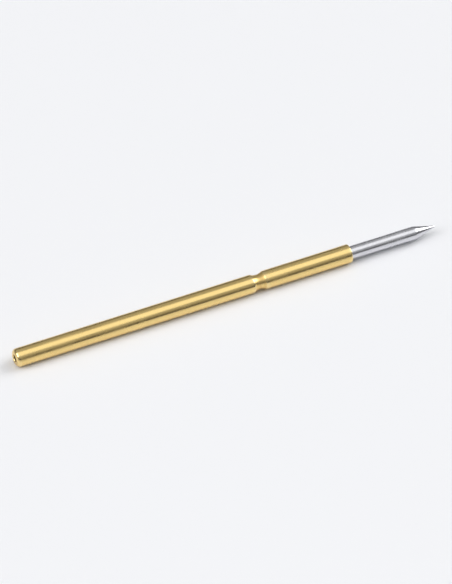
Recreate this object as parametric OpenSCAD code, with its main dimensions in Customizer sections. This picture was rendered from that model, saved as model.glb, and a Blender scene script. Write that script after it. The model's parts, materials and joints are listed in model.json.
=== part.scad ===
// Spring-loaded contact probe (pogo pin) for 1.27 mm contact centres.
// A thin gold-plated tube holds a coil spring and a needle-tipped plunger.
// The pin lies along X with its needle pointing to +X.
// The origin is on the axis, where the straight wall of the barrel starts
// just ahead of its rounded tail. All sizes are in millimetres.

/* [Barrel] */
// Outside diameter of the barrel
barrel_d = 0.68; // [0.64:0.01:1.00]
// Length of the barrel from its tail end to its mouth
barrel_len = 13; // [11:0.1:20]
// Thickness of the drawn wall
wall = 0.09; // [0.07:0.005:0.11]
// Outside radius of the spun tail
tail_round = 0.15; // [0.12:0.01:0.20]
// Diameter of the vent that the spun tail leaves open
vent_d = 0.28; // [0.16:0.01:0.30]
// Outside radius at the edge of the mouth
mouth_round = 0.04; // [0.01:0.005:0.06]
// Lead-in chamfer inside the mouth
mouth_lead = 0.02; // [0.005:0.005:0.04]

/* [Rolled ring] */
// How deep the ring is rolled into the wall
ring_depth = 0.07; // [0.05:0.005:0.08]
// Radius of the bottom of the ring's groove
ring_roll_r = 0.44; // [0.30:0.01:0.60]
// Outside radius of the shoulders beside the groove
ring_shoulder_r = 0.1; // [0.1:0.01:0.2]

/* [Plunger] */
// Length that stands out of the barrel at rest, with the needle
plunger_out = 3.35; // [3:0.05:4]
// Full travel of the plunger into the barrel
travel = 2.65; // [1.5:0.05:2.65]
// Length of the stem that the mouth guides at rest
guide_len = 0.7; // [0.4:0.05:2]
// Radial running clearance between the plunger and the bore
run_clearance = 0.01; // [0.01:0.001:0.015]
// Radial gap between the neck and the rolled ring
neck_gap = 0.03; // [0.015:0.005:0.05]
// Included angle of the needle
needle_angle = 30; // [24:1:60]
// Radius of the needle's point
point_r = 0.03; // [0.01:0.005:0.05]
// Length of the bearing behind the neck
bearing_len = 1; // [0.6:0.05:1.5]
// Angle of the slanted cut on the plunger's tail
bias_angle = 12; // [4:1:20]
// Edge radius on the bearing and at the back of the stem
edge_r = 0.04; // [0.02:0.005:0.05]
// Axial play between the bearing and the rolled ring
ring_play = 0.015; // [0.01:0.005:0.03]

/* [Spring] */
// Diameter of the spring wire
wire_d = 0.085; // [0.06:0.005:0.10]
// Radial gap between the spring and the bore
spring_gap = 0.02; // [0.01:0.005:0.03]
// Number of open turns
open_turns = 40; // [20:1:42]
// Number of closed turns at each end
closed_turns = 1; // [0.75:0.25:2]

/* [Hidden] */

gold = [0.86, 0.70, 0.36];
nickel = [0.78, 0.78, 0.77];
steel = [0.60, 0.60, 0.62];

// Axial gap at each end of the spring, where it really presses
rest_gap = 0.006;
// Extra length of a cutting shape past the face that it cuts
overcut = 0.2;
// Facet count of a circle; the solids that revolve stay true
circle_fn = 96;

// Barrel, worked out from the sizes above
barrel_r = barrel_d / 2;
bore_r = barrel_r - wall;
tail_x = -tail_round;
mouth_x = tail_x + barrel_len;
floor_x = tail_x + wall;
// The wall's edge round the vent is a round lip; this is the radius of its middle
lip_r = vent_d / 2 + wall / 2;

// Rolled ring: the groove's bottom and its two shoulders are arcs that touch
ring_axis_r = barrel_r - ring_depth + ring_roll_r;
shoulder_axis_r = barrel_r - ring_shoulder_r;
ring_half = sqrt(
    pow(ring_roll_r + ring_shoulder_r, 2) - pow(ring_axis_r - shoulder_axis_r, 2)
);

// Plunger
plunger_r = bore_r - run_clearance;
neck_r = bore_r - ring_depth - neck_gap;
tip_x = mouth_x + plunger_out;
needle_half = needle_angle / 2;
point_x = tip_x - point_r;
needle_base_x = point_x - (plunger_r - point_r * cos(needle_half)) / tan(needle_half)
    + point_r * sin(needle_half);
// Where a rounded edge of the plunger meets the inside of the rolled ring
stop_half = sqrt(
    pow(ring_roll_r + wall + edge_r, 2) - pow(ring_axis_r - plunger_r + edge_r, 2)
) - edge_r;
stem_back_x = mouth_x - guide_len;
ring_x = stem_back_x - travel - stop_half - ring_play;
bearing_front_x = ring_x - stop_half - ring_play;
bearing_back_x = bearing_front_x - bearing_len;

// Spring
coil_r = bore_r - spring_gap - wire_d / 2;
spring_back_x = floor_x + rest_gap + wire_d / 2;
spring_front_x = bearing_back_x - rest_gap - wire_d / 2;
closed_pitch = wire_d + rest_gap;
open_pitch = (spring_front_x - spring_back_x - 2 * closed_turns * closed_pitch) / open_turns;
turns = open_turns + 2 * closed_turns;
// Rings of wire in one turn, and corners of one ring
rings_per_turn = 12;
wire_sides = 8;

// A circle in the half-plane that is revolved, at axial place x and radius r
module disc(x, r, size) {
    translate([r, x]) circle(r = size, $fn = circle_fn);
}

// Revolves a half-plane outline, given as [radius, axial place], about the X axis
module turned() {
    rotate([0, 90, 0]) rotate_extrude($fn = circle_fn) children();
}

// What the roller leaves open outside the wall; inset is 0 on the outer face
// and one wall thickness on the inner one, so the wall keeps its thickness
module ring_groove(inset) {
    roof = ring_axis_r + overcut;
    difference() {
        polygon([
            [shoulder_axis_r, ring_x - ring_half],
            [ring_axis_r, ring_x],
            [shoulder_axis_r, ring_x + ring_half],
            [roof, ring_x + ring_half],
            [roof, ring_x - ring_half]
        ]);
        disc(ring_x - ring_half, shoulder_axis_r, ring_shoulder_r - inset);
        disc(ring_x + ring_half, shoulder_axis_r, ring_shoulder_r - inset);
    }
    disc(ring_x, ring_axis_r, ring_roll_r + inset);
}

// Half section of the barrel's outer form, or with an inset that of its hollow
module barrel_section(inset, front_x) {
    r = barrel_r - inset;
    back_x = tail_x + inset;
    corner = tail_round - inset;
    difference() {
        union() {
            translate([0, back_x]) square([r - corner, front_x - back_x]);
            translate([0, back_x + corner]) square([r, front_x - back_x - corner]);
            disc(back_x + corner, r - corner, corner);
        }
        ring_groove(inset);
        translate([-barrel_d, tail_x - overcut]) square([barrel_d, barrel_len + 2 * overcut]);
    }
}

// The rounded outer edge of the mouth, as what is taken off the wall's corner
module mouth_corner() {
    difference() {
        translate([barrel_r - mouth_round, mouth_x - mouth_round])
            square(mouth_round + overcut);
        disc(mouth_x - mouth_round, barrel_r - mouth_round, mouth_round);
    }
}

// The small cone inside the mouth that leads the plunger in
module mouth_lead_in() {
    polygon([
        [0, mouth_x - mouth_lead],
        [bore_r, mouth_x - mouth_lead],
        [bore_r + mouth_lead, mouth_x],
        [bore_r + mouth_lead, mouth_x + overcut],
        [0, mouth_x + overcut]
    ]);
}

module barrel() {
    color(gold)
    turned() {
        difference() {
            barrel_section(0, mouth_x);
            barrel_section(wall, mouth_x + overcut);
            translate([0, tail_x - overcut]) square([lip_r, wall + 2 * overcut]);
            mouth_corner();
            mouth_lead_in();
        }
        disc(tail_x + wall / 2, lip_r, wall / 2);
    }
}

// A straight length of the plunger with both outer edges rounded
module land(from_x, to_x) {
    translate([0, from_x]) square([plunger_r - edge_r, to_x - from_x]);
    translate([0, from_x + edge_r]) square([plunger_r, to_x - from_x - 2 * edge_r]);
    disc(from_x + edge_r, plunger_r - edge_r, edge_r);
    disc(to_x - edge_r, plunger_r - edge_r, edge_r);
}

// The needle: a cone that runs into the round point
module needle() {
    polygon([
        [0, needle_base_x - edge_r],
        [plunger_r, needle_base_x - edge_r],
        [plunger_r, needle_base_x],
        [point_r * cos(needle_half), point_x + point_r * sin(needle_half)],
        [0, point_x + point_r * sin(needle_half)]
    ]);
    intersection() {
        disc(point_x, 0, point_r);
        translate([0, point_x - point_r]) square(2 * point_r);
    }
}

module plunger() {
    color(nickel)
    difference() {
        turned() {
            land(bearing_back_x, bearing_front_x);
            translate([0, bearing_back_x + edge_r])
                square([neck_r, stem_back_x - bearing_back_x]);
            land(stem_back_x, needle_base_x);
            needle();
        }
        // The slanted tail pushes the bearing against one side of the bore
        translate([bearing_back_x, 0, -plunger_r])
            rotate([0, bias_angle, 0])
            translate([-bearing_len, -plunger_r - overcut, -overcut])
            cube([bearing_len, 2 * (plunger_r + overcut), barrel_d + 2 * overcut]);
    }
}

// How far the wire's middle has moved along the axis after a number of turns
function advance(turn) =
    spring_back_x
    + closed_pitch * min(turn, closed_turns)
    + open_pitch * max(0, min(turn - closed_turns, open_turns))
    + closed_pitch * max(0, turn - closed_turns - open_turns);

// One corner of the wire: side gives its place round the wire
function wire_point(turn, side) =
    let (
        round_axis = 360 * turn,
        round_wire = 360 * (side + 0.5) / wire_sides,
        r = coil_r + wire_d / 2 * cos(round_wire)
    )
    [
        advance(turn) + wire_d / 2 * sin(round_wire),
        r * sin(round_axis),
        -r * cos(round_axis)
    ];

module spring() {
    rings = round(turns * rings_per_turn);
    last = rings * wire_sides;
    points = [
        for (ring = [0 : rings], side = [0 : wire_sides - 1])
            wire_point(ring / rings_per_turn, side)
    ];
    sides = [
        for (ring = [0 : rings - 1], side = [0 : wire_sides - 1])
            let (next = (side + 1) % wire_sides, at = ring * wire_sides)
            [at + side, at + next, at + wire_sides + next, at + wire_sides + side]
    ];
    back_end = [for (side = [wire_sides - 1 : -1 : 0]) side];
    front_end = [for (side = [0 : wire_sides - 1]) last + side];
    color(steel) polyhedron(points, concat([back_end], sides, [front_end]));
}

barrel();
plunger();
spring();
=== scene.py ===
import json
import math

import bmesh
import bpy
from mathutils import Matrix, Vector


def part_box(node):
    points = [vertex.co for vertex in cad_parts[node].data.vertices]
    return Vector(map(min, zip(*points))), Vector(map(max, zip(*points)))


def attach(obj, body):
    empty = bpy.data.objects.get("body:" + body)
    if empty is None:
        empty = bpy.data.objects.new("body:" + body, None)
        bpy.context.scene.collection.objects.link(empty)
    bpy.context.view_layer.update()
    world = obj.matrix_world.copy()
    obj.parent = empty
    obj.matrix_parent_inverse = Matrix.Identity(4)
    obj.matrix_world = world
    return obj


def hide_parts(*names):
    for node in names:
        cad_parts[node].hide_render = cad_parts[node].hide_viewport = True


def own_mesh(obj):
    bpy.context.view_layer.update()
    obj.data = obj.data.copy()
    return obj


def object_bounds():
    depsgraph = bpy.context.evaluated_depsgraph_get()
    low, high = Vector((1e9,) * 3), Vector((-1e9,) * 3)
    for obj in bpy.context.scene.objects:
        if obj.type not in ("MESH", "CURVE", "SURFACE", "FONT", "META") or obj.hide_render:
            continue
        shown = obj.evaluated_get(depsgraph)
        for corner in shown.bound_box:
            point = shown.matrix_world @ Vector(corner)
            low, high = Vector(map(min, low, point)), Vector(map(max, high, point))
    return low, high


bl_info = {
    "name": "Pogo Pin",
    "version": (1, 0, 0),
    "blender": (4, 5, 0),
    "location": "3D View > Sidebar > Pogo Pin",
    "description": "Makes a spring contact pin from a barrel, a needle plunger and a coil spring",
    "category": "Add Mesh",
}

# The packed solids give the outer sizes; all lengths here are in metres
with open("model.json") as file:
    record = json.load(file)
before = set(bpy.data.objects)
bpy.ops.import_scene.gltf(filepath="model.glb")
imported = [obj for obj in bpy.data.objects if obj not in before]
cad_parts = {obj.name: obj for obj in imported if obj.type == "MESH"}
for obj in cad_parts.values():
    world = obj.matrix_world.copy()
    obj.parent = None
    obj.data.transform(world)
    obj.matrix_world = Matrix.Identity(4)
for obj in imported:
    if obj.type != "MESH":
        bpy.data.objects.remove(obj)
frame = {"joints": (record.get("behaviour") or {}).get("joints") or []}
CAD_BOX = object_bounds()
BARREL_LOW, BARREL_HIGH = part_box("barrel")
PLUNGER_LOW, PLUNGER_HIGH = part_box("plunger")
SLIDE = frame["joints"][0]
TRAVEL = SLIDE["range_m"][1]
MM = 0.001


# ---------------------------------------------------------------- settings


def length(name, description, default):
    """A length that the sidebar shows with its unit."""
    return bpy.props.FloatProperty(
        name=name, description=description, default=default, min=0.0, unit="LENGTH", precision=6
    )


def place(name, description, default):
    """A place along the pin's axis."""
    return bpy.props.FloatProperty(
        name=name, description=description, default=default, unit="LENGTH", precision=6
    )


def angle(name, description, degrees):
    """An angle, given here in degrees."""
    return bpy.props.FloatProperty(
        name=name, description=description, default=math.radians(degrees), subtype="ANGLE"
    )


def colour(name, description, default):
    """A colour without its alpha."""
    return bpy.props.FloatVectorProperty(
        name=name, description=description, default=default, min=0.0, max=1.0, subtype="COLOR"
    )


def share(name, description, default):
    """A number from 0 to 1."""
    return bpy.props.FloatProperty(
        name=name, description=description, default=default, min=0.0, max=1.0, subtype="FACTOR"
    )


def whole(name, description, default):
    """A count."""
    return bpy.props.IntProperty(name=name, description=description, default=default, min=3)


class BarrelSizes(bpy.types.PropertyGroup):
    """Sizes of the drawn tube, its spun tail and its rolled ring"""

    tail: place("Tail end", "Where the spun tail ends on the axis", BARREL_LOW.x)
    mouth: place("Mouth", "Where the barrel's open end is on the axis", BARREL_HIGH.x)
    radius: length("Radius", "Outside radius of the tube", BARREL_HIGH.z)
    wall: length("Wall", "Thickness of the drawn wall", 0.09 * MM)
    tail_round: length("Tail round", "Outside radius of the spun tail", 0.15 * MM)
    vent: length("Vent", "Radius of the vent that the tail leaves open", 0.14 * MM)
    mouth_round: length("Mouth round", "Outside radius at the mouth's edge", 0.04 * MM)
    mouth_lead: length("Mouth lead-in", "Chamfer inside the mouth", 0.02 * MM)
    ring_depth: length("Ring depth", "How deep the ring is rolled in", 0.07 * MM)
    ring_roll: length("Roll radius", "Radius of the ring's bottom", 0.44 * MM)
    ring_shoulder: length("Shoulder radius", "Radius beside the ring", 0.10 * MM)
    steps: whole("Steps round", "Faces round the barrel", 144)


class PlungerSizes(bpy.types.PropertyGroup):
    """Sizes of the turned pin: needle, stem, neck, bearing and slanted tail"""

    tip: place("Tip", "Where the needle's point is on the axis", PLUNGER_HIGH.x)
    radius: length("Radius", "Radius of the stem and the bearing", PLUNGER_HIGH.z)
    guide: length("Guide", "Length of the stem inside the mouth", 0.7 * MM)
    neck_gap: length("Neck gap", "Gap between the neck and the rolled ring", 0.03 * MM)
    bearing: length("Bearing", "Length of the bearing behind the neck", 1.0 * MM)
    edge: length("Edge", "Edge radius of the bearing and the stem's back", 0.04 * MM)
    ring_play: length("Ring play", "Axial play at the rolled ring", 0.015 * MM)
    point: length("Point", "Radius of the needle's point", 0.03 * MM)
    needle: angle("Needle", "Included angle of the needle", 30.0)
    slant: angle("Slant", "Angle of the cut on the tail", 12.0)
    steps: whole("Steps round", "Faces round the plunger", 120)


class SpringSizes(bpy.types.PropertyGroup):
    """Sizes of the coil spring"""

    wire: length("Wire", "Radius of the wire", 0.0425 * MM)
    gap: length("Gap", "Gap between the coil and the bore", 0.02 * MM)
    end_gap: length("End gap", "Gap at each end of the spring", 0.006 * MM)
    open_turns: whole("Open turns", "Turns between the closed ends", 40)
    closed_turns: bpy.props.FloatProperty(
        name="Closed turns", description="Closed turns at each end", default=1.0, min=0.5
    )
    steps: whole("Steps a turn", "Places along each turn", 30)
    sides: whole("Wire sides", "Faces round the wire", 12)


class Finishes(bpy.types.PropertyGroup):
    """Colours and polish of the three metals and the table"""

    gold: colour("Gold", "Gold plating on the barrel", (0.93, 0.70, 0.29))
    gold_pale: colour("Pale gold", "Plating where it is burnished", (0.97, 0.80, 0.46))
    # Darker gold that the random tone and the grain lean towards; the same colour is painted shade
    # laid into the barrel's hollows.
    gold_dark_tone_and_shade: colour("Deep gold", "Plating in the hollows", (0.62, 0.36, 0.10))
    gold_rough: share("Gold roughness", "Roughness of the plating", 0.2)
    bright: colour("Bright plating", "Plating on the plunger", (0.74, 0.74, 0.77))
    # Darker plunger colour for random tone and grain; the same colour is painted shade laid into
    # the plunger's hollows.
    bright_dark_tone_and_shade: colour("Dull plating", "Plunger plating in the hollows", (0.42, 0.42, 0.46))
    bright_rough: share("Bright roughness", "Roughness of the plunger", 0.2)
    wire: colour("Wire", "Drawn spring wire", (0.52, 0.52, 0.54))
    wire_rough: share("Wire roughness", "Roughness of the wire", 0.28)
    table: colour("Table", "The pale table", (0.86, 0.865, 0.885))


class StageSettings(bpy.types.PropertyGroup):
    """Camera, light and table"""

    azimuth: angle("Azimuth", "How far the camera stands round the pin", -24.0)
    elevation: angle("Elevation", "How far the camera looks down", 45.0)
    distance: length("Distance", "From the camera to the pin", 0.35)
    fill: share("Fill", "Share of the picture's width that the pin takes", 0.93)
    table_size: length("Table size", "Side of the table", 1.2)
    light_long: length("Light length", "Side of the soft light along the pin", 1.1)
    light_wide: length("Light width", "Side of the soft light across the pin", 0.5)
    light_high: length("Light height", "Height of the soft light over the table", 0.5)
    light_power: bpy.props.FloatProperty(
        name="Light power", description="Power of the soft light overhead", default=1.2, min=0.0
    )
    end_power: bpy.props.FloatProperty(
        name="End light power", description="Power of each light past an end", default=2.12, min=0.0
    )
    end_side: length("End light side", "Side of each light past an end", 0.45)
    end_away: length("End light distance", "From the pin's middle to each end light", 0.55)
    end_high: length("End light height", "Height of the end lights over the table", 0.4)
    room: share("Room", "Brightness of the room round the table", 0.42)
    room_low: share("Room at table height", "Brightness of the room just over the table", 0.06)


# ---------------------------------------------------------------- outlines


def arc(centre, size, start, end, steps):
    """Points on a circle about a place and radius, from one angle to another in degrees."""
    angles = [math.radians(start + (end - start) * i / steps) for i in range(steps + 1)]
    return [(centre[0] + size * math.cos(a), centre[1] + size * math.sin(a)) for a in angles]


def straight(start, end, step):
    """Points between two others, left out themselves, about one step apart."""
    reach = math.hypot(end[0] - start[0], end[1] - start[1])
    parts = max(1, round(reach / step))
    return [
        (start[0] + (end[0] - start[0]) * i / parts, start[1] + (end[1] - start[1]) * i / parts)
        for i in range(1, parts)
    ]


def joined(runs, step, closed):
    """Joins runs of (points, edge wear, painted shade, turned) and fills the straight stretches
    between.
    """
    points = []
    for at, (run, edge, shaded_pocket, turned) in enumerate(runs):
        points += [(x, r, edge, shaded_pocket, turned) for x, r in run]
        if at + 1 < len(runs) or closed:
            ahead = runs[(at + 1) % len(runs)]
            mean = [(a + b) / 2 for a, b in zip((edge, shaded_pocket, turned), ahead[1:])]
            points += [(x, r, *mean) for x, r in straight(run[-1], ahead[0][0], step)]
    return points


def ring_form(barrel, plunger):
    """The rolled ring's place, half width and arcs, and where the plunger's parts meet it."""
    roll_axis = barrel.radius - barrel.ring_depth + barrel.ring_roll
    shoulder_axis = barrel.radius - barrel.ring_shoulder
    rise = roll_axis - shoulder_axis
    half = math.sqrt((barrel.ring_roll + barrel.ring_shoulder) ** 2 - rise**2)
    inner = barrel.ring_roll + barrel.wall + plunger.edge
    stop = math.sqrt(inner**2 - (roll_axis - plunger.radius + plunger.edge) ** 2) - plunger.edge
    stem_back = barrel.mouth - plunger.guide
    middle = stem_back - TRAVEL - stop - plunger.ring_play
    return {
        "middle": middle,
        "half": half,
        "roll_axis": roll_axis,
        "shoulder_axis": shoulder_axis,
        "lean": math.degrees(math.atan2(rise, half)),
        "stem_back": stem_back,
        "bearing_front": middle - stop - plunger.ring_play,
    }


def barrel_outline(barrel, plunger):
    """The wall's section, from the vent's lip over the outside to the mouth and back inside."""
    ring = ring_form(barrel, plunger)
    bore = barrel.radius - barrel.wall
    floor = barrel.tail + barrel.wall
    lip = (barrel.tail + barrel.wall / 2, barrel.vent + barrel.wall / 2)
    corner = (barrel.tail + barrel.tail_round, barrel.radius - barrel.tail_round)
    mouth_corner = (barrel.mouth - barrel.mouth_round, barrel.radius - barrel.mouth_round)
    back = (ring["middle"] - ring["half"], ring["shoulder_axis"])
    roll = (ring["middle"], ring["roll_axis"])
    front = (ring["middle"] + ring["half"], ring["shoulder_axis"])
    lean = ring["lean"]
    inner_shoulder = barrel.ring_shoulder - barrel.wall
    inner_roll = barrel.ring_roll + barrel.wall
    inner_corner = barrel.tail_round - barrel.wall
    lead = barrel.mouth_lead
    # Each run gives its points, its edge wear, the painted shade in its hollow and how far it is
    # turned.
    return joined(
        [
            (arc(corner, barrel.tail_round, 180, 150, 5), 0.3, 0.35, 1.0),
            (arc(corner, barrel.tail_round, 144, 96, 8), 0.55, 0.1, 1.0),
            (arc(corner, barrel.tail_round, 90, 90, 1)[:1], 0.1, 0.0, 0.6),
            ([(0.12 * MM, barrel.radius)], 0.0, 0.0, 0.0),
            ([(back[0] - 0.1 * MM, barrel.radius)], 0.0, 0.0, 0.0),
            (arc(back, barrel.ring_shoulder, 90, lean, 6), 0.7, 0.05, 0.6),
            (arc(roll, barrel.ring_roll, 180 + lean + 5, 262, 7), 0.0, 0.55, 1.0),
            (arc(roll, barrel.ring_roll, 265, 275, 4), 0.15, 0.8, 1.0),
            (arc(roll, barrel.ring_roll, 278, 355 - lean, 7), 0.0, 0.55, 1.0),
            (arc(front, barrel.ring_shoulder, 180 - lean, 90, 6), 0.7, 0.05, 0.6),
            ([(front[0] + 0.1 * MM, barrel.radius)], 0.0, 0.0, 0.0),
            ([(mouth_corner[0] - 0.08 * MM, barrel.radius)], 0.0, 0.0, 0.0),
            (arc(mouth_corner, barrel.mouth_round, 90, 0, 9), 0.9, 0.0, 1.0),
            ([(barrel.mouth, bore + lead)], 0.5, 0.2, 1.0),
            ([(barrel.mouth - lead, bore)], 0.2, 0.7, 1.0),
            ([(barrel.mouth - 0.1 * MM, bore)], 0.0, 1.0, 0.0),
            (arc(front, inner_shoulder, 90, 180 - lean, 3), 0.0, 1.0, 0.0),
            (arc(roll, inner_roll, 360 - lean, 180 + lean, 20), 0.0, 1.0, 0.0),
            (arc(back, inner_shoulder, lean, 90, 3), 0.0, 1.0, 0.0),
            (arc(corner, inner_corner, 90, 180, 8), 0.0, 1.0, 0.5),
            (arc(lip, barrel.wall / 2, 360, 270, 8), 0.2, 0.7, 1.0),
            (arc(lip, barrel.wall / 2, 258.75, 180, 7), 0.8, 0.25, 1.0),
        ],
        0.25 * MM,
        closed=True,
    )


def plunger_outline(barrel, plunger):
    """Half of the turned pin, from the middle of its tail to the needle's point."""
    ring = ring_form(barrel, plunger)
    r = plunger.radius
    edge = plunger.edge
    front = ring["bearing_front"]
    back = front - plunger.bearing
    stem = ring["stem_back"]
    neck = barrel.radius - barrel.wall - barrel.ring_depth - plunger.neck_gap
    half = plunger.needle / 2
    point = plunger.tip - plunger.point
    taper = (r - plunger.point * math.cos(half)) / math.tan(half)
    base = point - taper + plunger.point * math.sin(half)
    blend = 0.05 * MM
    bend = blend * math.tan(half / 2)
    swing = 90 - math.degrees(half)
    # Each run gives its points, its edge wear, the painted shade in its hollow and how far it is
    # turned.
    return joined(
        [
            ([(back, 0.0), (back, r / 4), (back, r / 2)], 0.0, 0.5, 1.0),
            (arc((back + edge, r - edge), edge, 180, 90, 6), 0.6, 0.2, 1.0),
            (arc((front - edge, r - edge), edge, 90, 0, 6), 0.6, 0.2, 1.0),
            ([(front, neck)], 0.0, 0.9, 1.0),
            ([(stem, neck)], 0.0, 0.9, 1.0),
            (arc((stem + edge, r - edge), edge, 180, 90, 6), 0.6, 0.2, 1.0),
            (arc((base - bend, r - blend), blend, 90, swing, 4), 0.5, 0.0, 1.0),
            (arc((point, 0.0), plunger.point, swing, 0, 10), 0.9, 0.0, 1.0),
        ],
        0.2 * MM,
        closed=False,
    )


def outline_object(name, points, closed, centre):
    """A mesh of edges: the outline in a flat plane, its radius counted from a centre line."""
    mesh = bpy.data.meshes.new(name)
    count = len(points)
    edges = [(i, (i + 1) % count) for i in range(count if closed else count - 1)]
    mesh.from_pydata([(r - centre, x, 0.0) for x, r, *_ in points], edges, [])
    # The second layer marks where shade is painted into the hollows.
    for at, mark in enumerate(("edge", "shaded_pocket", "turned")):
        layer = mesh.attributes.new(mark, "FLOAT", "POINT")
        layer.data.foreach_set("value", [point[2 + at] for point in points])
    made = bpy.data.objects.new(name, mesh)
    bpy.context.scene.collection.objects.link(made)
    return made


# ---------------------------------------------------------------- node helpers


def put(tree, kind, inputs=None, **settings):
    """Adds a node, sets it up, and sets or wires its inputs by name or number."""
    made = tree.nodes.new(kind)
    made.location = (190 * (len(tree.nodes) % 8), -260 * (len(tree.nodes) // 8))
    for name, value in settings.items():
        setattr(made, name, value)
    for socket, value in (inputs or {}).items():
        if isinstance(value, bpy.types.NodeSocket):
            tree.links.new(value, made.inputs[socket])
        else:
            made.inputs[socket].default_value = value
    return made


def sockets(tree, in_out, wanted):
    """Makes a tree's named inputs or outputs from (name, type, value)."""
    for name, kind, value in wanted:
        made = tree.interface.new_socket(name, in_out=in_out, socket_type="NodeSocket" + kind)
        if value is not None:
            made.default_value = value


def maths(tree, operation, *values, clamp=False):
    """The result of a Math node."""
    inputs = dict(enumerate(values))
    return put(tree, "ShaderNodeMath", inputs, operation=operation, use_clamp=clamp).outputs[0]


# ---------------------------------------------------------------- geometry trees


def turned_piece_tree():
    """Turns an outline round the pin's axis, as a lathe would, and roughens it a little."""
    tree = bpy.data.node_groups.new("Turned Piece", "GeometryNodeTree")
    sockets(
        tree,
        "INPUT",
        [
            ("Outline", "Geometry", None),
            ("Steps Round", "Int", 128),
            ("Centre Line", "Float", 0.0003),
            ("Unevenness", "Float", 0.0),
            ("Uneven Size", "Float", 5000.0),
            ("Seed", "Float", 3.0),
            ("Merge Distance", "Float", 1e-8),
            ("Finish", "Material", None),
        ],
    )
    sockets(tree, "OUTPUT", [("Piece", "Geometry", None)])
    given = put(tree, "NodeGroupInput").outputs
    section = put(tree, "GeometryNodeMeshToCurve", {"Mesh": given["Outline"]})
    circle = put(
        tree,
        "GeometryNodeCurvePrimitiveCircle",
        {"Resolution": given["Steps Round"], "Radius": given["Centre Line"]},
    )
    swept = put(
        tree,
        "GeometryNodeCurveToMesh",
        {"Curve": circle.outputs["Curve"], "Profile Curve": section.outputs[0]},
    )
    laid = put(
        tree,
        "GeometryNodeTransform",
        {"Geometry": swept.outputs[0], "Rotation": (0.0, math.radians(-90), 0.0)},
    )
    closed = put(
        tree,
        "GeometryNodeMergeByDistance",
        {"Geometry": laid.outputs[0], "Distance": given["Merge Distance"]},
    )
    noise = put(
        tree,
        "ShaderNodeTexNoise",
        {
            "Vector": put(tree, "GeometryNodeInputPosition").outputs[0],
            "W": given["Seed"],
            "Scale": given["Uneven Size"],
            "Detail": 2.0,
        },
        noise_dimensions="4D",
    )
    worked = put(
        tree, "GeometryNodeInputNamedAttribute", {"Name": "turned"}, data_type="FLOAT"
    ).outputs["Attribute"]
    lift = maths(tree, "SUBTRACT", noise.outputs["Fac"], 0.5)
    lift = maths(tree, "MULTIPLY", lift, given["Unevenness"])
    lift = maths(tree, "MULTIPLY", lift, worked)
    moved = put(
        tree,
        "ShaderNodeVectorMath",
        {0: put(tree, "GeometryNodeInputNormal").outputs[0], "Scale": lift},
        operation="SCALE",
    )
    uneven = put(
        tree,
        "GeometryNodeSetPosition",
        {"Geometry": closed.outputs[0], "Offset": moved.outputs[0]},
    )
    smooth = put(tree, "GeometryNodeSetShadeSmooth", {"Geometry": uneven.outputs[0]})
    real = put(tree, "GeometryNodeRealizeInstances", {"Geometry": smooth.outputs[0]})
    done = put(
        tree,
        "GeometryNodeSetMaterial",
        {"Geometry": real.outputs[0], "Material": given["Finish"]},
    )
    put(tree, "NodeGroupOutput", {"Piece": done.outputs[0]})
    return tree


def coil_spring_tree():
    """Winds a wire round the pin's axis, with closed turns at both ends."""
    tree = bpy.data.node_groups.new("Coil Spring", "GeometryNodeTree")
    sockets(
        tree,
        "INPUT",
        [
            ("Geometry", "Geometry", None),
            ("Coil Radius", "Float", 0.0002),
            ("Wire Radius", "Float", 0.00004),
            ("Back End", "Float", 0.0),
            ("Closed Pitch", "Float", 0.0001),
            ("Open Pitch", "Float", 0.0002),
            ("Closed Turns", "Float", 1.0),
            ("Open Turns", "Float", 40.0),
            ("Steps a Turn", "Int", 30),
            ("Wire Sides", "Int", 12),
            ("Finish", "Material", None),
        ],
    )
    sockets(tree, "OUTPUT", [("Spring", "Geometry", None)])
    given = put(tree, "NodeGroupInput").outputs
    both_ends = maths(tree, "MULTIPLY", given["Closed Turns"], 2.0)
    turns = maths(tree, "ADD", given["Open Turns"], both_ends)
    count = maths(tree, "MULTIPLY_ADD", turns, given["Steps a Turn"], 1.0)
    line = put(tree, "GeometryNodeMeshLine", {"Count": count})
    index = put(tree, "GeometryNodeInputIndex").outputs[0]
    turn = maths(tree, "DIVIDE", index, given["Steps a Turn"])
    closed_back = maths(tree, "MINIMUM", turn, given["Closed Turns"])
    past_back = maths(tree, "SUBTRACT", turn, given["Closed Turns"])
    past_back = maths(tree, "MAXIMUM", past_back, 0.0)
    open_part = maths(tree, "MINIMUM", past_back, given["Open Turns"])
    closed_front = maths(tree, "SUBTRACT", past_back, given["Open Turns"])
    closed_front = maths(tree, "MAXIMUM", closed_front, 0.0)
    closed_part = maths(tree, "ADD", closed_back, closed_front)
    along = maths(tree, "MULTIPLY_ADD", closed_part, given["Closed Pitch"], given["Back End"])
    along = maths(tree, "MULTIPLY_ADD", open_part, given["Open Pitch"], along)
    swing = maths(tree, "MULTIPLY", turn, 2 * math.pi)
    side = maths(tree, "MULTIPLY", maths(tree, "SINE", swing), given["Coil Radius"])
    depth = maths(tree, "MULTIPLY", maths(tree, "COSINE", swing), given["Coil Radius"])
    height = maths(tree, "MULTIPLY", depth, -1.0)
    spot = put(tree, "ShaderNodeCombineXYZ", {"X": along, "Y": side, "Z": height})
    wound = put(
        tree,
        "GeometryNodeSetPosition",
        {"Geometry": line.outputs[0], "Position": spot.outputs[0]},
    )
    path = put(tree, "GeometryNodeMeshToCurve", {"Mesh": wound.outputs[0]})
    section = put(
        tree,
        "GeometryNodeCurvePrimitiveCircle",
        {"Resolution": given["Wire Sides"], "Radius": given["Wire Radius"]},
    )
    wire = put(
        tree,
        "GeometryNodeCurveToMesh",
        {"Curve": path.outputs[0], "Profile Curve": section.outputs["Curve"], "Fill Caps": True},
    )
    smooth = put(tree, "GeometryNodeSetShadeSmooth", {"Geometry": wire.outputs[0]})
    real = put(tree, "GeometryNodeRealizeInstances", {"Geometry": smooth.outputs[0]})
    done = put(
        tree,
        "GeometryNodeSetMaterial",
        {"Geometry": real.outputs[0], "Material": given["Finish"]},
    )
    put(tree, "NodeGroupOutput", {"Spring": done.outputs[0]})
    return tree


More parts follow.
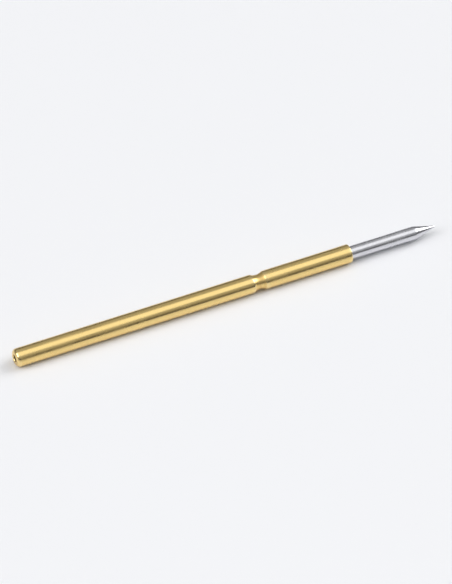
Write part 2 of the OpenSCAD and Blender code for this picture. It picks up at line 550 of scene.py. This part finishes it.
def applied(name, source, tree, values):
    """Runs a geometry tree on an object and keeps the result as a plain mesh at the origin."""
    modifier = source.modifiers.new(tree.name, "NODES")
    modifier.node_group = tree
    wanted = {item.name: item.identifier for item in tree.interface.items_tree}
    for label, value in values.items():
        modifier[wanted[label]] = value
    graph = bpy.context.evaluated_depsgraph_get()
    mesh = bpy.data.meshes.new_from_object(
        source.evaluated_get(graph), preserve_all_data_layers=True, depsgraph=graph
    )
    bpy.data.objects.remove(source)
    mesh.name = name
    face_out(mesh)
    made = bpy.data.objects.new(name, mesh)
    bpy.context.scene.collection.objects.link(made)
    return made


def face_out(mesh):
    """Turns a closed mesh the right way out."""
    work = bmesh.new()
    work.from_mesh(mesh)
    if work.calc_volume(signed=True) < 0:
        bmesh.ops.reverse_faces(work, faces=work.faces)
    work.to_mesh(mesh)
    work.free()


# ---------------------------------------------------------------- shared effects


def effect(name, inputs, outputs):
    """A shader node group with named inputs and outputs: the tree and its given sockets."""
    tree = bpy.data.node_groups.new(name, "ShaderNodeTree")
    sockets(tree, "INPUT", inputs)
    sockets(tree, "OUTPUT", [(label, kind, None) for label, kind in outputs])
    return tree, put(tree, "NodeGroupInput").outputs


def noise(tree, vector, scale, detail=2.0, rough=0.5):
    """A noise texture's strength."""
    inputs = {"Vector": vector, "Scale": scale, "Detail": detail, "Roughness": rough}
    return put(tree, "ShaderNodeTexNoise", inputs).outputs["Fac"]


def step_between(tree, value, low, high):
    """A smooth step from 0 to 1 between two values."""
    inputs = {"Value": value, "From Min": low, "From Max": high}
    made = put(tree, "ShaderNodeMapRange", inputs, interpolation_type="SMOOTHSTEP")
    return made.outputs["Result"]


def scaled(tree, vector, factors):
    """A vector with each part multiplied; a factor may be a number or a socket."""
    sizes = put(tree, "ShaderNodeCombineXYZ", dict(enumerate(factors))).outputs[0]
    return put(tree, "ShaderNodeVectorMath", {0: vector, 1: sizes}, operation="MULTIPLY").outputs[0]


def grain_effect():
    """Streaks that drawing leaves along the metal, and rings that a lathe or roller leaves."""
    tree, given = effect(
        "Drawn And Turned Grain",
        [
            ("Place", "Vector", None),
            ("Turned", "Float", 0.0),
            ("Streaks", "Float", 18.0),
            ("Rings", "Float", 40.0),
        ],
        [("Grain", "Float")],
    )
    along = scaled(tree, given["Place"], (0.35, given["Streaks"], given["Streaks"]))
    streaks = noise(tree, along, 1.0, 3.0, 0.6)
    across = scaled(tree, given["Place"], (given["Rings"], 0.6, 0.6))
    rings = noise(tree, across, 1.0, 3.0, 0.6)
    mixed = put(tree, "ShaderNodeMix", {0: given["Turned"], 2: streaks, 3: rings})
    put(tree, "NodeGroupOutput", {"Grain": mixed.outputs[0]})
    return tree


def handling_effect():
    """Hairline scratches, soft smudges and small pits that handling leaves."""
    tree, given = effect(
        "Handling Marks",
        [("Place", "Vector", None), ("Scratch Size", "Float", 26.0), ("Smudge Size", "Float", 0.9)],
        [("Scratches", "Float"), ("Smudges", "Float"), ("Pits", "Float")],
    )
    parts = put(tree, "ShaderNodeSeparateXYZ", {0: given["Place"]}).outputs
    turn = maths(tree, "ARCTAN2", parts["Y"], parts["Z"])
    square = maths(tree, "MULTIPLY", parts["Y"], parts["Y"])
    square = maths(tree, "MULTIPLY_ADD", parts["Z"], parts["Z"], square)
    round_it = maths(tree, "MULTIPLY", turn, maths(tree, "SQRT", square))
    unrolled = put(tree, "ShaderNodeCombineXYZ", {"X": parts["X"], "Y": round_it}).outputs[0]
    lines = []
    for lean, low in ((9.0, 0.69), (-16.0, 0.71), (63.0, 0.73)):
        leaned = put(
            tree,
            "ShaderNodeVectorRotate",
            {"Vector": unrolled, "Angle": math.radians(lean)},
            rotation_type="Z_AXIS",
        ).outputs[0]
        stretched = scaled(tree, leaned, (0.9, given["Scratch Size"], 1.0))
        lines.append(step_between(tree, noise(tree, stretched, 1.0, 1.0), low, low + 0.06))
    scratches = maths(tree, "MAXIMUM", maths(tree, "MAXIMUM", lines[0], lines[1]), lines[2])
    blurred = noise(tree, given["Place"], given["Smudge Size"], 3.0, 0.6)
    smudges = step_between(tree, blurred, 0.42, 0.68)
    pits = step_between(tree, noise(tree, given["Place"], 24.0, 1.0), 0.72, 0.78)
    put(tree, "NodeGroupOutput", {"Scratches": scratches, "Smudges": smudges, "Pits": pits})
    return tree


def edge_wear_and_shade_effect():
    """Burnished edges, and painted shade in the hollows, both broken up so that neither is even."""
    tree, given = effect(
        "Edges And Hollows",
        [("Place", "Vector", None), ("Break Up", "Float", 9.0)],
        [("Edges", "Float"), ("Hollow Shade", "Float"), ("Turned", "Float")],
    )
    marks = {
        mark: put(tree, "ShaderNodeAttribute", attribute_name=mark).outputs["Fac"]
        for mark in ("edge", "shaded_pocket", "turned")
    }
    patches = noise(tree, given["Place"], given["Break Up"], 3.0, 0.6)
    broken = step_between(tree, patches, 0.3, 0.7)
    kept = maths(tree, "MULTIPLY_ADD", broken, 0.6, 0.4)
    edges = maths(tree, "MULTIPLY", marks["edge"], kept)
    # Painted shade: the hollow mark, broken up by the same patches, darkens the hollows.
    hollows = maths(tree, "MULTIPLY", marks["shaded_pocket"], maths(tree, "SUBTRACT", 1.35, kept))
    turned = marks["turned"]
    put(tree, "NodeGroupOutput", {"Edges": edges, "Hollow Shade": hollows, "Turned": turned})
    return tree


def shared(name, make):
    """A shared effect, built the first time that it is asked for."""
    return bpy.data.node_groups.get(name) or make()


# ---------------------------------------------------------------- finishes


def rgba(values):
    """A colour with its alpha."""
    return (*values, 1.0)


def metal(name, look, streaks, rings):
    """A plated metal: tint, grain, handling marks, burnished edges, and painted shade in the
    hollows.
    """
    made = bpy.data.materials.new(name)
    made.use_nodes = True
    tree = made.node_tree
    tree.nodes.clear()
    own = put(tree, "ShaderNodeTexCoord").outputs["Object"]
    spot = put(tree, "ShaderNodeMapping", {"Vector": own, "Scale": (1 / MM,) * 3}).outputs[0]

    def use(label, make, inputs):
        group = put(tree, "ShaderNodeGroup", node_tree=shared(label, make))
        for socket, value in inputs.items():
            if isinstance(value, bpy.types.NodeSocket):
                tree.links.new(value, group.inputs[socket])
            else:
                group.inputs[socket].default_value = value
        return group.outputs

    wear_and_shade = use("Edges And Hollows", edge_wear_and_shade_effect, {"Place": spot})
    marks = use("Handling Marks", handling_effect, {"Place": spot})
    grain = use(
        "Drawn And Turned Grain",
        grain_effect,
        {"Place": spot, "Turned": wear_and_shade["Turned"], "Streaks": streaks, "Rings": rings},
    )["Grain"]

    def tinted(amount, below, above):
        inputs = {0: amount, 6: below, 7: above}
        return put(tree, "ShaderNodeMix", inputs, data_type="RGBA").outputs[2]

    # The deep colour is used three ways: random tone drift, grain, and painted shade in the
    # hollows.
    drift = step_between(tree, noise(tree, spot, 0.55, 3.0, 0.55), 0.35, 0.7)
    tone = tinted(maths(tree, "MULTIPLY", drift, look["drift"]), look["base"], look["deep"])
    faint = maths(tree, "MULTIPLY", grain, look["grain_tint"])
    tone = tinted(faint, tone, look["deep"])
    # Painted shade: the hollows are darkened towards the deep colour.
    tone = tinted(maths(tree, "MULTIPLY", wear_and_shade["Hollow Shade"], look["hollow"]), tone, look["deep"])
    tone = tinted(maths(tree, "MULTIPLY", wear_and_shade["Edges"], look["shine"]), tone, look["pale"])

    rough = maths(tree, "MULTIPLY_ADD", marks["Smudges"], 0.09, look["rough"] - 0.04)
    rough = maths(tree, "MULTIPLY_ADD", grain, 0.14, rough)
    rough = maths(tree, "MULTIPLY_ADD", marks["Scratches"], 0.12, rough)
    rough = maths(tree, "MULTIPLY_ADD", wear_and_shade["Hollow Shade"], 0.16, rough)
    rough = maths(tree, "MULTIPLY_ADD", wear_and_shade["Edges"], -0.06, rough, clamp=True)

    height = maths(tree, "MULTIPLY", grain, look["grain"])
    height = maths(tree, "MULTIPLY_ADD", marks["Scratches"], -0.35, height)
    height = maths(tree, "MULTIPLY_ADD", marks["Pits"], -0.5, height)
    bump = put(
        tree,
        "ShaderNodeBump",
        {"Strength": look["bump"], "Distance": 0.0015 * MM, "Height": height},
    ).outputs[0]
    surface = put(
        tree,
        "ShaderNodeBsdfPrincipled",
        {"Base Color": tone, "Metallic": 1.0, "Roughness": rough, "Normal": bump},
    )
    put(tree, "ShaderNodeOutputMaterial", {"Surface": surface.outputs[0]})
    return made


def gold_plate(finish):
    """Gold plating over the drawn tube."""
    look = {
        "base": rgba(finish.gold),
        "deep": rgba(finish.gold_dark_tone_and_shade),
        "pale": rgba(finish.gold_pale),
        "rough": finish.gold_rough,
        "drift": 0.08,
        "grain_tint": 0.12,
        # How strongly shade is painted into the hollows.
        "hollow": 0.75,
        "shine": 0.6,
        "grain": 1.0,
        "bump": 0.55,
    }
    return metal("gold_plate", look, 20.0, 26.0)


def nickel_plate(finish):
    """Bright plating over the turned pin."""
    look = {
        "base": rgba(finish.bright),
        "deep": rgba(finish.bright_dark_tone_and_shade),
        "pale": (0.9, 0.9, 0.92, 1.0),
        "rough": finish.bright_rough,
        "drift": 0.16,
        "grain_tint": 0.22,
        # How strongly shade is painted into the hollows.
        "hollow": 0.6,
        "shine": 0.6,
        "grain": 1.0,
        "bump": 0.6,
    }
    return metal("nickel_plate", look, 20.0, 30.0)


def spring_wire(finish):
    """Bright drawn wire, with its streaks running round the coil."""
    look = {
        "base": rgba(finish.wire),
        "deep": (0.25, 0.24, 0.24, 1.0),
        "pale": (0.75, 0.75, 0.76, 1.0),
        "rough": finish.wire_rough,
        "drift": 0.25,
        "grain_tint": 0.3,
        "hollow": 0.0,
        "shine": 0.0,
        "grain": 1.0,
        "bump": 0.5,
    }
    return metal("spring_wire", look, 30.0, 60.0)


def table_top(finish):
    """A pale, faintly glossy table."""
    made = bpy.data.materials.new("pale_table")
    made.use_nodes = True
    tree = made.node_tree
    tree.nodes.clear()
    own = put(tree, "ShaderNodeTexCoord").outputs["Object"]
    spot = put(tree, "ShaderNodeMapping", {"Vector": own, "Scale": (1 / MM,) * 3}).outputs[0]
    cloud = noise(tree, spot, 0.02, 3.0, 0.5)
    light = rgba(finish.table)
    dark = rgba([part * 0.985 for part in finish.table])
    inputs = {0: cloud, 6: dark, 7: light}
    tone = put(tree, "ShaderNodeMix", inputs, data_type="RGBA").outputs[2]
    rough = maths(tree, "MULTIPLY_ADD", cloud, 0.1, 0.35)
    height = noise(tree, spot, 4.0, 2.0, 0.5)
    bump = put(
        tree, "ShaderNodeBump", {"Strength": 0.1, "Distance": 0.001 * MM, "Height": height}
    ).outputs[0]
    surface = put(
        tree,
        "ShaderNodeBsdfPrincipled",
        {"Base Color": tone, "Roughness": rough, "Specular IOR Level": 0.3, "Normal": bump},
    )
    put(tree, "ShaderNodeOutputMaterial", {"Surface": surface.outputs[0]})
    return made


# ---------------------------------------------------------------- operators


class POGO_OT_barrel(bpy.types.Operator):
    """Turn the barrel: spun tail, straight wall, rolled ring, mouth and bore"""

    bl_idname = "pogo.make_barrel"
    bl_label = "Barrel"
    bl_options = {"REGISTER", "UNDO"}

    def execute(self, context):
        scene = context.scene
        sizes = scene.pogo_barrel
        centre = sizes.radius - sizes.wall / 2
        points = barrel_outline(sizes, scene.pogo_plunger)
        source = outline_object("barrel_outline", points, True, centre)
        values = {
            "Steps Round": sizes.steps,
            "Centre Line": centre,
            "Unevenness": 0.004 * MM,
            "Uneven Size": 4.0 / MM,
            "Finish": gold_plate(scene.pogo_finish),
        }
        piece = applied("barrel_tube", source, shared("Turned Piece", turned_piece_tree), values)
        piece.data.set_sharp_from_angle(angle=math.radians(40))
        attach(piece, "barrel")
        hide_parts("barrel")
        return {"FINISHED"}


class POGO_OT_plunger(bpy.types.Operator):
    """Turn the plunger: slanted tail, bearing, neck, stem and needle"""

    bl_idname = "pogo.make_plunger"
    bl_label = "Plunger"
    bl_options = {"REGISTER", "UNDO"}

    def execute(self, context):
        scene = context.scene
        sizes = scene.pogo_plunger
        points = plunger_outline(scene.pogo_barrel, sizes)
        source = outline_object("plunger_outline", points, False, sizes.radius)
        values = {
            "Steps Round": sizes.steps,
            "Centre Line": sizes.radius,
            "Unevenness": 0.001 * MM,
            "Uneven Size": 6.0 / MM,
            "Finish": nickel_plate(scene.pogo_finish),
        }
        piece = applied("plunger_pin", source, shared("Turned Piece", turned_piece_tree), values)
        back = min(point[0] for point in points)
        slope = math.tan(sizes.slant)
        reach = sizes.bearing * 0.6
        for vertex in piece.data.vertices:
            ahead = min(max((vertex.co.x - back) / reach, 0.0), 1.0)
            vertex.co.x += (vertex.co.z + sizes.radius) * slope * (1.0 - ahead)
        piece.data.set_sharp_from_angle(angle=math.radians(40))
        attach(piece, "plunger")
        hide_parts("plunger")
        return {"FINISHED"}


class POGO_OT_spring(bpy.types.Operator):
    """Wind the coil spring between the barrel's tail and the plunger's tail"""

    bl_idname = "pogo.make_spring"
    bl_label = "Spring"
    bl_options = {"REGISTER", "UNDO"}

    def execute(self, context):
        scene = context.scene
        barrel = scene.pogo_barrel
        plunger = scene.pogo_plunger
        sizes = scene.pogo_spring
        floor = barrel.tail + barrel.wall
        seat = ring_form(barrel, plunger)["bearing_front"] - plunger.bearing
        first = floor + sizes.end_gap + sizes.wire
        last = seat - sizes.end_gap - sizes.wire
        closed_pitch = 2 * sizes.wire + sizes.end_gap
        open_length = last - first - 2 * sizes.closed_turns * closed_pitch
        source = bpy.data.objects.new("spring_line", bpy.data.meshes.new("spring_line"))
        scene.collection.objects.link(source)
        values = {
            "Coil Radius": barrel.radius - barrel.wall - sizes.gap - sizes.wire,
            "Wire Radius": sizes.wire,
            "Back End": first,
            "Closed Pitch": closed_pitch,
            "Open Pitch": open_length / sizes.open_turns,
            "Closed Turns": sizes.closed_turns,
            "Open Turns": float(sizes.open_turns),
            "Steps a Turn": sizes.steps,
            "Wire Sides": sizes.sides,
            "Finish": spring_wire(scene.pogo_finish),
        }
        piece = applied("coil_spring", source, shared("Coil Spring", coil_spring_tree), values)
        piece.data.set_sharp_from_angle(angle=math.radians(50))
        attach(piece, "barrel")
        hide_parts("spring")
        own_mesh(piece)
        return {"FINISHED"}


def soft_light(name, size_x, size_y, power, spot, aim):
    """A rectangular soft light at a spot, turned to an aim."""
    data = bpy.data.lights.new(name, "AREA")
    data.shape = "RECTANGLE"
    data.size = size_x
    data.size_y = size_y
    data.energy = power
    made = bpy.data.objects.new(name, data)
    made.location = spot
    made.rotation_euler = (Vector(aim) - Vector(spot)).to_track_quat("-Z", "Y").to_euler()
    bpy.context.scene.collection.objects.link(made)
    return made


def studio_world(low, high):
    """A room that is dark at table height and pale above, with a pale wall behind the table."""
    world = bpy.data.worlds.new("studio_room")
    world.use_nodes = True
    tree = world.node_tree
    tree.nodes.clear()
    way = put(tree, "ShaderNodeTexCoord").outputs["Generated"]
    up = put(tree, "ShaderNodeSeparateXYZ", {0: way}).outputs["Z"]
    rise = step_between(tree, up, 0.12, 0.62)
    dark = rgba((low, low * 0.97, low))
    pale = rgba((high * 0.98, high * 0.99, high))
    tone = put(tree, "ShaderNodeMix", {0: rise, 6: dark, 7: pale}, data_type="RGBA").outputs[2]
    room = put(tree, "ShaderNodeBackground", {"Color": tone, "Strength": 1.0})
    wall = put(tree, "ShaderNodeBackground", {"Color": (0.88, 0.88, 0.9, 1.0), "Strength": 1.0})
    path = put(tree, "ShaderNodeLightPath").outputs["Is Camera Ray"]
    mixed = put(tree, "ShaderNodeMixShader", {0: path, 1: room.outputs[0], 2: wall.outputs[0]})
    put(tree, "ShaderNodeOutputWorld", {"Surface": mixed.outputs[0]})
    bpy.context.scene.world = world


class POGO_OT_stage(bpy.types.Operator):
    """Set out the pale table, the soft lights and the camera"""

    bl_idname = "pogo.set_stage"
    bl_label = "Stage"
    bl_options = {"REGISTER", "UNDO"}

    def execute(self, context):
        scene = context.scene
        settings = scene.pogo_stage
        low, high = CAD_BOX
        middle = (low + high) / 2

        half = settings.table_size / 2
        mesh = bpy.data.meshes.new("table_top")
        corners = [(-half, -half), (half, -half), (half, half), (-half, half)]
        floor = -scene.pogo_barrel.radius
        mesh.from_pydata([(x, y, floor) for x, y in corners], [], [(0, 1, 2, 3)])
        mesh.materials.append(table_top(scene.pogo_finish))
        table = bpy.data.objects.new("table_top", mesh)
        scene.collection.objects.link(table)

        spot = Vector((middle.x + 0.15, -0.12, settings.light_high))
        soft_light(
            "soft_box",
            settings.light_long,
            settings.light_wide,
            settings.light_power,
            spot,
            (spot.x, spot.y, 0.0),
        )
        for name, way in (("tail_box", -1.0), ("tip_box", 1.0)):
            beyond = Vector((middle.x + settings.end_away * way, 0.0, settings.end_high))
            wide = settings.end_side
            soft_light(name, wide, wide, settings.end_power, beyond, middle)
        studio_world(settings.room_low, settings.room)

        data = bpy.data.cameras.new("camera")
        data.sensor_fit = "AUTO"
        data.clip_start = 0.01
        data.clip_end = 10.0
        data.dof.use_dof = False
        side, up = settings.azimuth, settings.elevation
        away = Vector(
            (math.sin(side) * math.cos(up), -math.cos(side) * math.cos(up), math.sin(up))
        )
        shown = (high.x - low.x) * math.cos(side) / settings.fill
        picture_width, picture_height = 452, 584
        sensor = data.sensor_width * picture_width / picture_height
        data.lens = sensor * settings.distance / shown
        camera = bpy.data.objects.new("camera", data)
        camera.location = middle + away * settings.distance
        camera.rotation_euler = (-away).to_track_quat("-Z", "Y").to_euler()
        scene.collection.objects.link(camera)
        scene.camera = camera
        scene.view_settings.view_transform = "Standard"
        return {"FINISHED"}


# ---------------------------------------------------------------- panel


class POGO_PT_panel(bpy.types.Panel):
    """The pin's pieces, sizes and finishes in the sidebar"""

    bl_idname = "POGO_PT_panel"
    bl_label = "Pogo Pin"
    bl_space_type = "VIEW_3D"
    bl_region_type = "UI"
    bl_category = "Pogo Pin"

    def draw(self, context):
        layout = self.layout
        for maker in MAKERS:
            layout.operator(maker.bl_idname)
        for name, kind in SETTINGS.items():
            box = layout.box()
            box.label(text=kind.__doc__)
            group = getattr(context.scene, name)
            for setting in kind.__annotations__:
                box.prop(group, setting)


SETTINGS = {
    "pogo_barrel": BarrelSizes,
    "pogo_plunger": PlungerSizes,
    "pogo_spring": SpringSizes,
    "pogo_finish": Finishes,
    "pogo_stage": StageSettings,
}
MAKERS = (POGO_OT_barrel, POGO_OT_plunger, POGO_OT_spring, POGO_OT_stage)


def register():
    """Registers the settings, the operators and the panel."""
    for kind in (*SETTINGS.values(), *MAKERS, POGO_PT_panel):
        bpy.utils.register_class(kind)
    for name, kind in SETTINGS.items():
        setattr(bpy.types.Scene, name, bpy.props.PointerProperty(type=kind))


def unregister():
    """Takes them away again."""
    for name in SETTINGS:
        delattr(bpy.types.Scene, name)
    for kind in reversed((*SETTINGS.values(), *MAKERS, POGO_PT_panel)):
        bpy.utils.unregister_class(kind)


def main():
    """Makes the pin and its stage."""
    register()
    bpy.ops.pogo.make_barrel()
    bpy.ops.pogo.make_plunger()
    bpy.ops.pogo.make_spring()
    bpy.ops.pogo.set_stage()


if __name__ == "__main__":
    main()
